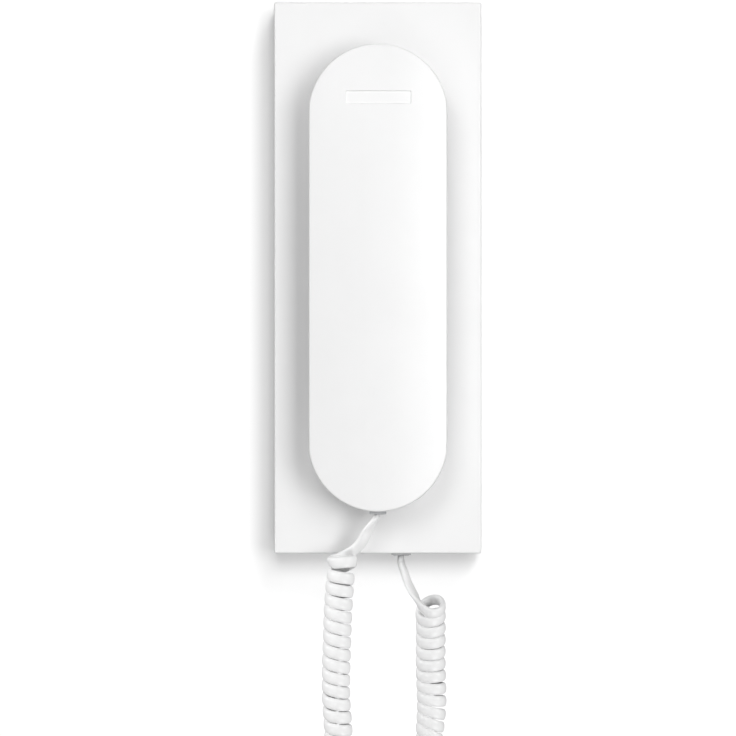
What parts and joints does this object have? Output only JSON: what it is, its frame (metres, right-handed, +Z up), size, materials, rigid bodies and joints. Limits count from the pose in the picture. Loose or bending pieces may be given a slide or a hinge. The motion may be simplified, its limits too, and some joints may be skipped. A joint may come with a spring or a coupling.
{
  "type": "wall telephone",
  "caption": "Slim wall telephone for a door-entry system: flat rectangular base, capsule-shaped handset hung on its front, and a curly cord looped between the two.",
  "frame": {"origin": "on the wall plane, at the middle of the two wall screw holes", "axes": "+X to the right as seen from the front, +Y into the wall, +Z up"},
  "size_m": [0.083, 0.044, 0.3644],
  "materials": {
    "base_plastic": "satin white moulded ABS",
    "handset_plastic": "satin white moulded ABS",
    "cord_pvc": "satin white flexible PVC",
    "plug_plastic": "white cord plug",
    "circuit_board": "green solder mask",
    "components": "black moulded components",
    "terminal_plastic": "green terminal housing",
    "zinc_steel": "zinc-plated steel",
    "spring_steel": "drawn spring wire",
    "ballast_steel": "blank steel plate",
    "dark_plastic": "black moulded plastic",
    "socket_plastic": "light grey socket housing",
    "lever_plastic": "natural acetal",
    "plunger_plastic": "red acetal",
    "button_plastic": "satin white button caps",
    "silicone": "grey silicone rubber",
    "foam": "black foam and rubber",
    "capsule_metal": "aluminium can",
    "wire_insulation": "coloured wire insulation"
  },
  "bodies": {
    "base": {"rear_housing": "base_plastic", "front_cover": "base_plastic", "main_board": "circuit_board", "board_parts": "components", "board_screws": "zinc_steel", "terminal_block": "terminal_plastic", "terminal_screws": "zinc_steel", "sounder": "dark_plastic", "hook_switch_body": "dark_plastic", "hook_pin": "zinc_steel", "hook_spring": "spring_steel", "door_button_dome": "silicone", "auxiliary_button_dome": "silicone", "volume_switch_body": "dark_plastic", "cover_screw": "zinc_steel", "base_jack": "socket_plastic", "cord_coil_base_side": "cord_pvc", "cord_base_lead": "cord_pvc", "base_plug": "plug_plastic"},
    "handset": {"handset_front_shell": "handset_plastic", "handset_rear_shell": "handset_plastic", "handset_screws": "zinc_steel", "receiver_capsule": "dark_plastic", "receiver_gasket": "foam", "microphone_capsule": "capsule_metal", "microphone_boot": "foam", "ballast_weight": "ballast_steel", "handset_jack": "socket_plastic", "handset_wires": "wire_insulation", "handset_plug": "plug_plastic", "cord_handset_lead": "cord_pvc", "cord_coil_handset_side": "cord_pvc"},
    "lever": {"hook_lever": "lever_plastic"},
    "plunger": {"hook_switch_plunger": "plunger_plastic"},
    "door_button": {"door_release_button": "button_plastic"},
    "aux_button": {"auxiliary_button": "button_plastic"},
    "slider": {"volume_slider": "button_plastic"}
  },
  "joints": [
    {"name": "handset_lift", "type": "slide", "parent": "base", "child": "handset", "axis": [0, -0.866, 0.5], "range_m": [0, 0.04]},
    {"name": "hook_lever_turn", "type": "hinge", "parent": "base", "child": "lever", "pos_m": [0.01, -0.011, -0.038], "axis": [1, 0, 0], "range_deg": [-12, 0]},
    {"name": "switch_plunger_slide", "type": "slide", "parent": "base", "child": "plunger", "axis": [0, 1, 0], "range_m": [0, 0.001]},
    {"name": "door_button_press", "type": "slide", "parent": "base", "child": "door_button", "axis": [0, 1, 0], "range_m": [0, 0.0012], "stiffness_N_per_m": 1200, "springref_m": -0.0002, "deforming": ["door_button_dome"]},
    {"name": "auxiliary_button_press", "type": "slide", "parent": "base", "child": "aux_button", "axis": [0, 1, 0], "range_m": [0, 0.0012], "stiffness_N_per_m": 1200, "springref_m": -0.0002, "deforming": ["auxiliary_button_dome"]},
    {"name": "volume_slide", "type": "slide", "parent": "base", "child": "slider", "axis": [0, 0, 1], "range_m": [-0.006, 0]}
  ],
  "couplings": [
    {"joint": "hook_lever_turn", "follows": "handset_lift", "rad_per_m": -5.2359},
    {"joint": "switch_plunger_slide", "follows": "handset_lift", "ratio": 0.0237}
  ]
}
